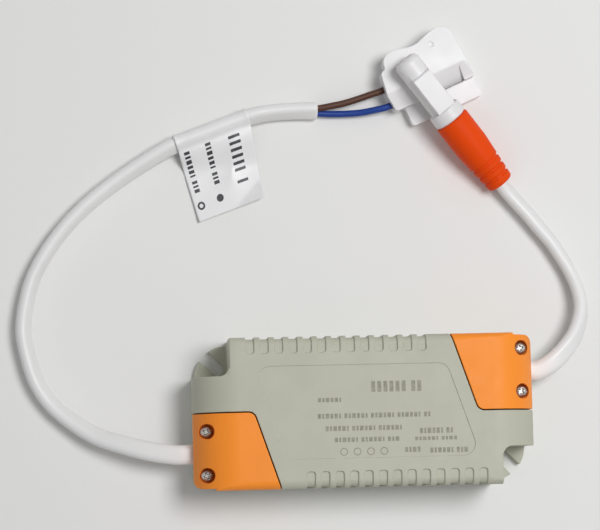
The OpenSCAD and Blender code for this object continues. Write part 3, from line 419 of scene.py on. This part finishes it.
MATERIALS = {
    "housing_grey": moulded("housing_grey", (0.47, 0.475, 0.385), 0.58, 0.008),
    "cap_orange": moulded("cap_orange", (0.97, 0.29, 0.025), 0.5, 0.005, 0.3),
    "screw_steel": metal("screw_steel", (0.38, 0.37, 0.35), 0.4),
    "board_green": coated("board_green", (0.03, 0.16, 0.05), 0.4),
    "terminal_white": moulded("terminal_white", (0.75, 0.75, 0.74), 0.42, 0.004),
    "contact_brass": metal("contact_brass", (0.7, 0.5, 0.2), 0.3),
    "moulded_black": moulded("moulded_black", (0.02, 0.02, 0.022), 0.5, 0.01),
    "dipped_blue": coated("dipped_blue", (0.03, 0.12, 0.42), 0.35),
    "box_yellow": coated("box_yellow", (0.65, 0.45, 0.05), 0.35),
    "ferrite": stone("ferrite", (0.05, 0.05, 0.055), 0.6),
    "enamelled_wire": metal("enamelled_wire", (0.55, 0.2, 0.06), 0.3),
    "can_sleeve": coated("can_sleeve", (0.02, 0.03, 0.06), 0.35),
    "sink_aluminium": metal("sink_aluminium", (0.6, 0.61, 0.62), 0.38),
    "winding_tape": coated("winding_tape", (0.75, 0.55, 0.08), 0.35),
    "sheath_white": soft_sheath("sheath_white", (0.8, 0.8, 0.8), 0.4),
    "core_brown": soft_sheath("core_brown", (0.075, 0.028, 0.014), 0.42, 0.3),
    "core_blue": soft_sheath("core_blue", (0.01, 0.045, 0.26), 0.42, 0.3),
    "core_red": soft_sheath("core_red", (0.5, 0.01, 0.01), 0.36),
    "core_black": soft_sheath("core_black", (0.015, 0.015, 0.015), 0.36),
    "tag_film": paper("tag_film", (0.82, 0.82, 0.83), 0.38),
    "connector_white": moulded("connector_white", (0.78, 0.77, 0.78), 0.38, 0.003),
    "boot_orange": soft_sheath("boot_orange", (0.8, 0.066, 0.002), 0.55, 0.12),
}
LABEL_INK = ink("label_ink", (0.27, 0.265, 0.205), 0.6, 0.2)
TAG_INK = ink("tag_ink", (0.03, 0.03, 0.035), 0.45, 0.2)


def backdrop(name, colour):
    """Plain paper that passes into the background far from the part, as the camera sees it."""
    sheet = Finish(name, colour, 0.8).mottle(160, 0.01)
    tree = sheet.tree
    away = tree.nodes.new("ShaderNodeVectorMath")
    away.operation = "LENGTH"
    sheet.join(sheet.place, away.inputs[0])
    seen = tree.nodes.new("ShaderNodeMath")
    seen.operation = "MULTIPLY"
    near, far = (d * MM for d in FLOOR_FADE)
    sheet.join(sheet.ranged(away.outputs["Value"], 0, 1, near, far), seen.inputs[0])
    sheet.join(tree.nodes.new("ShaderNodeLightPath").outputs["Is Camera Ray"], seen.inputs[1])
    glow = tree.nodes.new("ShaderNodeEmission")
    glow.inputs["Strength"].default_value = WORLD_SEEN
    mix = tree.nodes.new("ShaderNodeMixShader")
    sheet.join(seen.outputs["Value"], mix.inputs["Fac"])
    sheet.join(sheet.shader.outputs["BSDF"], mix.inputs[1])
    sheet.join(glow.outputs["Emission"], mix.inputs[2])
    sheet.join(mix.outputs["Shader"], tree.nodes["Material Output"].inputs["Surface"])
    return sheet.material


def make_floor():
    half, z = FLOOR_SIZE * MM / 2, -FLOOR_DROP * MM
    corners = [(-half, -half, z), (half, -half, z), (half, half, z), (-half, half, z)]
    mesh = bpy.data.meshes.new("floor")
    mesh.from_pydata(corners, [], [(0, 1, 2, 3)])
    floor = linked("floor", mesh)
    mesh.materials.append(backdrop("floor_paper", FLOOR_COLOUR))
    floor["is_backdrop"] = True


# Nodes of the frame: materials and even shading

def even_out(target):
    """Smooth shading that keeps flat faces flat."""
    normals = target.modifiers.new("normals", "WEIGHTED_NORMAL")
    normals.keep_sharp = True


def dress(node, material):
    target = nodes[node]
    for slot in target.material_slots:
        slot.material = material
    target.data.polygons.foreach_set("use_smooth", [True] * len(target.data.polygons))
    weld = target.modifiers.new("weld", "WELD")
    weld.merge_threshold = WELD_GAP * MM
    flat = target.modifiers.new("flat_faces", "DECIMATE")
    flat.decimate_type = "DISSOLVE"
    flat.angle_limit = math.radians(FLAT_ANGLE)
    even_out(target)


def dress_nodes():
    for part in frame["record"]["subparts"]:
        dress(part["node"], MATERIALS[part["material_slot"]])


# Pieces made here

def piece(name, mesh, material, slot):
    """Object of that mesh, smooth, with its material, riding on the body."""
    made = linked(name, mesh)
    mesh.materials.append(material)
    mesh.polygons.foreach_set("use_smooth", [True] * len(mesh.polygons))
    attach(made, BODY)
    return made


def mesh_of(name, points, faces):
    mesh = bpy.data.meshes.new(name)
    mesh.from_pydata([Vector(p) * MM for p in points], [], faces)
    mesh.validate()
    return mesh


# Moulded pieces with rounded edges

def edge_room(edge, vert, sharp):
    """Widest rounding that the edges next to one end of a sharp edge leave."""
    along = edge.other_vert(vert).co - vert.co
    widest = math.inf
    for face in edge.link_faces:
        for other in face.edges:
            if other is edge or vert not in other.verts:
                continue
            far = other.other_vert(vert)
            line = far.co - vert.co
            turn = max(along.angle(-line), NO_TURN)
            if other in sharp and turn < math.radians(RUN_TURN):
                left = RUN_ROOM * min(along.length, line.length) / math.tan(turn / 2)
            else:
                shared = any(near in sharp for near in far.link_edges)
                left = line.cross(along.normalized()).length * (SHARED_ROOM if shared else FREE_ROOM)
            widest = min(widest, left)
    return widest


def edge_runs(sharp):
    """Sharp edges in runs, each going on through the points where just two of them meet."""
    left = set(sharp)
    while left:
        run, queue = [], [left.pop()]
        while queue:
            edge = queue.pop()
            run.append(edge)
            for vert in edge.verts:
                others = [near for near in vert.link_edges if near in sharp and near is not edge]
                if len(others) == 1 and others[0] in left:
                    line = vert.co - others[0].other_vert(vert).co
                    if (edge.other_vert(vert).co - vert.co).angle(line) < math.radians(RUN_TURN):
                        left.discard(others[0])
                        queue.append(others[0])
        yield run


def apart(edge, other):
    """Distance between the nearest ends of two edges."""
    return 0 if edge is other else min((a.co - b.co).length for a in edge.verts for b in other.verts)


def mend(bm):
    """Close folds that are too narrow to round, and join slivers to the faces beside them."""
    for _ in range(FOLD_TURNS):
        folds = [edge for edge in bm.edges if edge.calc_face_angle(0) > math.radians(FOLD_ANGLE)]
        if not folds:
            break
        spot = folds[0].verts[0].co.copy()
        near = [vert for vert in bm.verts if (vert.co - spot).length < FOLD_SIZE * MM]
        middle = sum((vert.co for vert in near), Vector()) / len(near)
        bmesh.ops.pointmerge(bm, verts=near, merge_co=middle)
        bmesh.ops.dissolve_degenerate(bm, edges=bm.edges, dist=CLEAN_GAP * MM)
    thin = {}
    for face in bm.faces:
        longest = max(face.edges, key=lambda edge: edge.calc_length())
        if face.calc_area() < SLIVER * MM * longest.calc_length():
            thin[longest] = True
    bmesh.ops.dissolve_edges(bm, edges=list(thin))


def soft_copy(node, width, spread):
    """Mesh of a node, cleaned, with the share of the rounding that each sharp edge can take."""
    bm = bmesh.new()
    bm.from_mesh(nodes[node].data)
    bm.transform(nodes[node].matrix_world)
    bmesh.ops.remove_doubles(bm, verts=bm.verts, dist=CLEAN_GAP * MM)
    bmesh.ops.dissolve_degenerate(bm, edges=bm.edges, dist=CLEAN_GAP * MM)
    if node == MENDED:
        mend(bm)
    bmesh.ops.dissolve_limit(bm, angle_limit=math.radians(FLAT_ANGLE), verts=bm.verts, edges=bm.edges)
    share = bm.edges.layers.float.new("bevel_weight_edge")
    limit = math.radians(SHARP_ANGLE)
    sharp = {edge for edge in bm.edges if len(edge.link_faces) == 2 and edge.calc_face_angle() > limit}
    for run in edge_runs(sharp):
        rooms = [min(edge_room(edge, vert, sharp) for vert in edge.verts) for edge in run]
        levels = [min(room + spread * apart(edge, spot) for spot, room in zip(run, rooms)) / (width * MM)
                  for edge in run]
        soft = max(levels) > LEAST_SOFT
        for edge, level in zip(run, levels):
            edge[share] = min(1, level) if soft else 0
            edge.smooth = soft
    mesh = bpy.data.meshes.new(node + "_soft")
    bm.to_mesh(mesh)
    bm.free()
    return mesh


def make_soft_pieces():
    """Rounded pieces in place of the moulded nodes, by node."""
    soft = {}
    for part in frame["record"]["subparts"]:
        node, slot = part["node"], part["material_slot"]
        if node not in SOFT_EDGES:
            continue
        width, spread = SOFT_EDGES[node]
        made = piece(node + "_soft", soft_copy(node, width, spread), MATERIALS[slot], slot)
        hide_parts(node)
        bevel = made.modifiers.new("edges", "BEVEL")
        bevel.width = width * MM
        bevel.segments = EDGE_SEGMENTS
        bevel.limit_method = "WEIGHT"
        bevel.use_clamp_overlap = False
        even_out(made)
        soft[node] = made
    return soft


# Leads

def through(points, steps):
    """Smooth curve through points of any dimension, with that many steps between each two."""
    ends = [[2 * a - b for a, b in zip(points[0], points[1])],
            [2 * a - b for a, b in zip(points[-1], points[-2])]]
    line = [ends[0], *points, ends[1]]
    made = []
    for i in range(1, len(line) - 2):
        for k in range(steps):
            t = k / steps
            made.append([b + 0.5 * t * (c - a + t * (2 * a - 5 * b + 4 * c - d + t * (3 * (b - c) + d - a)))
                         for a, b, c, d in zip(*line[i - 1:i + 3])])
    made.append(list(points[-1]))
    return made


def oval_ring(centre, ahead, roll, width, thickness, sides):
    """Points round the section of a flat flex; a round one has the same width and thickness."""
    side = Vector((-ahead.y, ahead.x, 0)).normalized()
    up = ahead.cross(side)
    c, s = math.cos(math.radians(roll)), math.sin(math.radians(roll))
    ring = []
    for k in range(sides):
        g = 2 * math.pi * (k + 0.5) / sides
        m = math.copysign((width - thickness) / 2, math.cos(g)) + thickness / 2 * math.cos(g)
        h = thickness / 2 * math.sin(g)
        ring.append(centre + (m * c - h * s) * side + (m * s + h * c) * up)
    return ring


def skin(name, rings):
    """Closed mesh through rings of the same number of points."""
    sides, count = len(rings[0]), len(rings)
    faces = [tuple(reversed(range(sides))), tuple(range((count - 1) * sides, count * sides))]
    for i in range(count - 1):
        for k in range(sides):
            a, b = i * sides + k, i * sides + (k + 1) % sides
            faces.append((a, b, b + sides, a + sides))
    return mesh_of(name, [p for ring in rings for p in ring], faces)


def swept(name, route, width, thickness, sides, steps, edge):
    """Mesh of a lead along its route, with rounded cut ends, and the centres of its rings."""
    line = through(route, steps)
    centres = [Vector(p[:3]) for p in line]
    last = len(centres) - 1
    rings = []
    for i, centre in enumerate(centres):
        ahead = (centres[min(i + 1, last)] - centres[max(i - 1, 0)]).normalized()
        if 0 < i < last:
            rings.append(oval_ring(centre, ahead, line[i][3], width, thickness, sides))
            continue
        inward = ahead if i == 0 else -ahead
        ends = []
        for g in END_ANGLES:
            cut = 2 * edge * (1 - math.sin(math.radians(g)))
            at = centre + edge * (1 - math.cos(math.radians(g))) * inward
            ends.append(oval_ring(at, ahead, line[i][3], width - cut, thickness - cut, sides))
        rings += ends if i == 0 else ends[::-1]
    return skin(name, rings), centres


def declare_cord(centres, exit_point, length):
    [x * MM for x in exit_point]
    [c * MM for c in centres]


def plug_axis():
    """Where the lead enters the plug's boot, and the plug's direction."""
    turn, lean = math.radians(PLUG_TURN), math.radians(PLUG_LEAN)
    ahead = Vector((math.cos(lean) * math.cos(turn), math.cos(lean) * math.sin(turn), math.sin(lean)))
    return Vector((*PLUG_AT, BOOT_END_D / 2 * math.cos(lean) + TABLE_GAP)), ahead


def block_point(u, v, z):
    """Point of the terminal block's own frame: along its front, back from it, and up."""
    c, s = math.cos(math.radians(BLOCK_TURN)), math.sin(math.radians(BLOCK_TURN))
    return BLOCK_AT[0] + u * c - v * s, BLOCK_AT[1] + u * s + v * c, z


def make_leads(soft, tag):
    mesh, centres = swept("input_flex", INPUT_ROUTE, FLEX_W, FLEX_T, FLEX_SIDES, FLEX_STEPS, FLEX_END)
    flex = piece("input_flex", mesh, MATERIALS["sheath_white"], "sheath_white")
    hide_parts("input_lead")
    declare_cord(centres, INPUT_EXIT, INPUT_LENGTH)

    end, ahead = plug_axis()
    route = OUTPUT_ROUTE + [(*(end - s * ahead), PLUG_ROLL) for s in (PLUG_LEAD_IN, 0)]
    mesh, centres = swept("output_flex", route, FLEX_W, FLEX_T, FLEX_SIDES, FLEX_STEPS, HELD_END)
    flex = piece("output_flex", mesh, MATERIALS["sheath_white"], "sheath_white")
    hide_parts("output_lead")
    declare_cord(centres, OUTPUT_EXIT, OUTPUT_LENGTH)

    cores = [
        ("line", LINE_ROUTE, LINE_LENGTH, "core_brown"),
        ("neutral", NEUTRAL_ROUTE, NEUTRAL_LENGTH, "core_blue"),
    ]
    for (name, route, length, slot), v in zip(cores, ENTRY_VS):
        whole = route + [(*block_point(u, v, ENTRY_Z), 0) for u in ENTRY_US]
        mesh, centres = swept(name + "_wire", whole, CORE_D, CORE_D, CORE_SIDES, CORE_STEPS, CORE_END)
        wire = piece(name + "_wire", mesh, MATERIALS[slot], slot)
        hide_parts(name + "_core")
        declare_cord(centres, route[1][:3], length)


# Tag

def tag_point(u, v, z):
    """Point of the tag's own frame: along the lead, to its left, and up."""
    c, s = math.cos(math.radians(TAG_TURN)), math.sin(math.radians(TAG_TURN))
    return TAG_AT[0] + u * c - v * s, TAG_AT[1] + u * s + v * c, z


def to_segment(a, b, start, stop):
    """Distance of a point of the flag from a line between two others."""
    point, first, line = Vector((a, b)), Vector(start), Vector(stop) - Vector(start)
    along = max(0, min(1, (point - first).dot(line) / line.length_squared))
    return (point - first - along * line).length


def flag_height(a, b):
    """Height of the flag's lower layer: it comes down from the lead, curls up again and is creased."""
    far = b / TAG_FLAG
    drop = min(1, b / (TAG_DROP[0] + (TAG_DROP[1] - TAG_DROP[0]) * a / TAG_L))
    step = TAG_STEP * (1 - drop * drop * (3 - 2 * drop))
    creased = sum(rise * math.exp(-to_segment(a, b, start, stop) / width)
                  for start, stop, width, rise in TAG_CREASES)
    fold, lifts, slope = TAG_CORNER
    lifted = slope * max(0, (Vector((a, b)) - Vector(fold)).dot(Vector(lifts)))
    return TAG_REST + step + TAG_CURL * far ** 3 + creased * min(1, b / TAG_CREASE_IN) + lifted


def flag_point(a, b, over):
    """Point of the flag, a along the lead and b away from it, that far over its lower layer."""
    far = b / TAG_FLAG
    u = (1 - far) * (a - TAG_L / 2) + far * (TAG_FAR[0] + (TAG_FAR[1] - TAG_FAR[0]) * a / TAG_L)
    return tag_point(u, -TAG_ROOT - b, flag_height(a, b) + over)


def sleeve_points(a):
    """Points of the strip from the flag's upper layer round the lead to its lower one."""
    u = a - TAG_L / 2
    flare = TAG_FLARE * math.exp((abs(u) - TAG_L / 2) / TAG_FLARE_L)
    r = FLEX_T / 2 + TAG_HUG + flare
    c, s = math.cos(math.radians(TAG_ROLL)), math.sin(math.radians(TAG_ROLL))
    line = [(-TAG_ROOT, flag_height(a, 0) + TAG_LAYER)]
    for g in SLEEVE_ANGLES:
        m = math.copysign((FLEX_W - FLEX_T) / 2, math.cos(math.radians(g))) + r * math.cos(math.radians(g))
        h = r * math.sin(math.radians(g))
        line.append((m * c - h * s, TAG_LEAD_Z + m * s + h * c))
    line.append((-TAG_ROOT, flag_height(a, 0)))
    return [tag_point(u, v, z) for v, z in through(line, SLEEVE_STEPS)]


def grid_mesh(name, rows):
    width = len(rows[0])
    faces = [(i * width + k, i * width + k + 1, (i + 1) * width + k + 1, (i + 1) * width + k)
             for i in range(len(rows) - 1) for k in range(width - 1)]
    return mesh_of(name, [p for row in rows for p in row], faces)


def make_tag():
    away = [TAG_FLAG * j / TAG_CELLS for j in range(TAG_CELLS + 1)]
    rows = []
    for k in range(TAG_CELLS + 1):
        a = TAG_L * k / TAG_CELLS
        upper = [flag_point(a, b, TAG_LAYER) for b in reversed(away)]
        lower = [flag_point(a, b, 0) for b in away]
        rows.append(upper[:-1] + sleeve_points(a) + lower[1:])
    tag = piece("folded_tag", grid_mesh("folded_tag", rows), MATERIALS["tag_film"], "tag_film")
    paper_t = tag.modifiers.new("paper", "SOLIDIFY")
    paper_t.thickness = TAG_PAPER * MM
    paper_t.offset = 0
    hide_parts("lead_tag")
    print_flag()
    return tag


# Printed marks: flat shapes, placed on a surface by a function of two lengths

class Print:
    def __init__(self, place):
        self.place = place
        self.points = []
        self.faces = []

    def bar(self, x0, x1, y0, y1, cell):
        nx, ny = (max(1, math.ceil(abs(d) / cell)) for d in (x1 - x0, y1 - y0))
        start = len(self.points)
        for i in range(nx + 1):
            for j in range(ny + 1):
                self.points.append(self.place(x0 + (x1 - x0) * i / nx, y0 + (y1 - y0) * j / ny))
        for i in range(nx):
            for j in range(ny):
                a = start + i * (ny + 1) + j
                self.faces.append((a, a + ny + 1, a + ny + 2, a + 1))

    def ring(self, x, y, inner, outer, sides=32):
        start = len(self.points)
        turns = [2 * math.pi * k / sides for k in range(sides)]
        for r in (inner, outer) if inner else (outer,):
            self.points += [self.place(x + r * math.cos(t), y + r * math.sin(t)) for t in turns]
        if not inner:
            self.faces.append(tuple(range(start, start + sides)))
            return
        for k in range(sides):
            a, b = start + k, start + (k + 1) % sides
            self.faces.append((a, a + sides, b + sides, b))

    def blocks(self, start, stop, middle, height, widths, gap, cell):
        """Row of plain blocks, with a wider gap after each group."""
        x, k = start, 0
        while x + widths[k % len(widths)] <= stop:
            wide = widths[k % len(widths)]
            self.bar(x, x + wide, middle - height / 2, middle + height / 2, cell)
            k += 1
            x += wide + gap * (GROUP_GAP if k % GROUP == 0 else 1)

    def done(self, name, material):
        return piece(name, mesh_of(name, self.points, self.faces), material, None)


def print_label():
    label = Print(lambda x, y: (x, y, LABEL_Z + INK_RISE))
    label.blocks(*LABEL_TITLE, LABEL_TITLE_WIDTHS, LABEL_TITLE_GAP, LABEL_CELL)
    for row in LABEL_ROWS:
        label.blocks(*row, BLOCK_WIDTHS, LABEL_GAP, LABEL_CELL)
    for x, y in LABEL_SIGNS:
        label.ring(x, y, *SIGN_RADII)
    return label.done("label_print", LABEL_INK)


def print_flag():
    over = TAG_LAYER + TAG_PAPER / 2 + TAG_INK_RISE
    flag = Print(lambda b, a: flag_point(a, b, over))
    flag.blocks(*TAG_TITLE, TAG_TITLE_WIDTHS, TAG_TITLE_GAP, TAG_CELL)
    for row in TAG_ROWS:
        flag.blocks(*row, BLOCK_WIDTHS, TAG_GAP, TAG_CELL)
    flag.ring(*TAG_RING)
    flag.ring(*TAG_DOT)
    return flag.done("tag_print", TAG_INK)


# Screws

def lathe(name, outline, sides):
    """Solid turned about Z from an outline of radius and height."""
    rings = [[Vector((r * math.cos(2 * math.pi * k / sides), r * math.sin(2 * math.pi * k / sides), z))
              for k in range(sides)] for r, z in outline]
    return skin(name, rings)


def carved(mesh, cutter):
    """The mesh less the cutter."""
    body, tool = linked("carved_body", mesh), linked("carved_tool", cutter)
    cut = body.modifiers.new("cut", "BOOLEAN")
    cut.operation = "DIFFERENCE"
    cut.solver = "EXACT"
    cut.object = tool
    result = bpy.data.meshes.new_from_object(body.evaluated_get(bpy.context.evaluated_depsgraph_get()))
    for work in (body, tool):
        bpy.data.objects.remove(work)
    return result


def cross_cutter():
    """Tapered prism with a cross for its outline."""
    rings = []
    for z, taper in ((HEAD_H - CROSS_DEPTH, CROSS_TAPER), (HEAD_H + CROSS_OVER, 1)):
        far, side = CROSS_L / 2 * taper, CROSS_W / 2 * taper
        arm, ring = [(far, -side), (far, side), (side, side)], []
        for quarter in range(4):
            ring += [Vector((x, y, z)) for x, y in arm]
            arm = [(-y, x) for x, y in arm]
        rings.append(ring)
    return skin("cross", rings)


def make_screws():
    r, shank = HEAD_D / 2, SCREW_D / 2
    dome = [(r * math.cos(math.radians(g)), HEAD_RIM + (HEAD_H - HEAD_RIM) * math.sin(math.radians(g)))
            for g in range(0, 90, DOME_STEP)]
    outline = [(AXIS_R, -SCREW_L), (shank, -SCREW_L + SCREW_TIP), (shank, 0), (r - HEAD_CHAMFER, 0),
               (r, HEAD_CHAMFER), *dome, (AXIS_R, HEAD_H)]
    screw = carved(lathe("screw", outline, SCREW_SIDES), cross_cutter())
    bm = bmesh.new()
    for (x, y), turn in zip(SCREW_AT, SCREW_TURNS):
        copy = screw.copy()
        copy.transform(Matrix.Translation(Vector((x, y, SCREW_SEAT_Z)) * MM)
                       @ Matrix.Rotation(math.radians(turn), 4, "Z"))
        bm.from_mesh(copy)
    mesh = bpy.data.meshes.new("cap_screw_set")
    bm.to_mesh(mesh)
    bm.free()
    screws = piece("cap_screw_set", mesh, MATERIALS["screw_steel"], "screw_steel")
    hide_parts("cap_screws")
    bevel = screws.modifiers.new("edges", "BEVEL")
    bevel.width = SCREW_EDGE * MM
    bevel.limit_method = "ANGLE"
    bevel.angle_limit = math.radians(SCREW_SHARP)
    screws.modifiers.new("normals", "WEIGHTED_NORMAL")


make_camera()
make_lamps()
make_world()
make_floor()
dress_nodes()
make_leads(make_soft_pieces(), make_tag())
print_label()
make_screws()

boxes = {"cad": cad_box, "visual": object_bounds()}
{name: [list(corner) for corner in box] for name, box in boxes.items()}
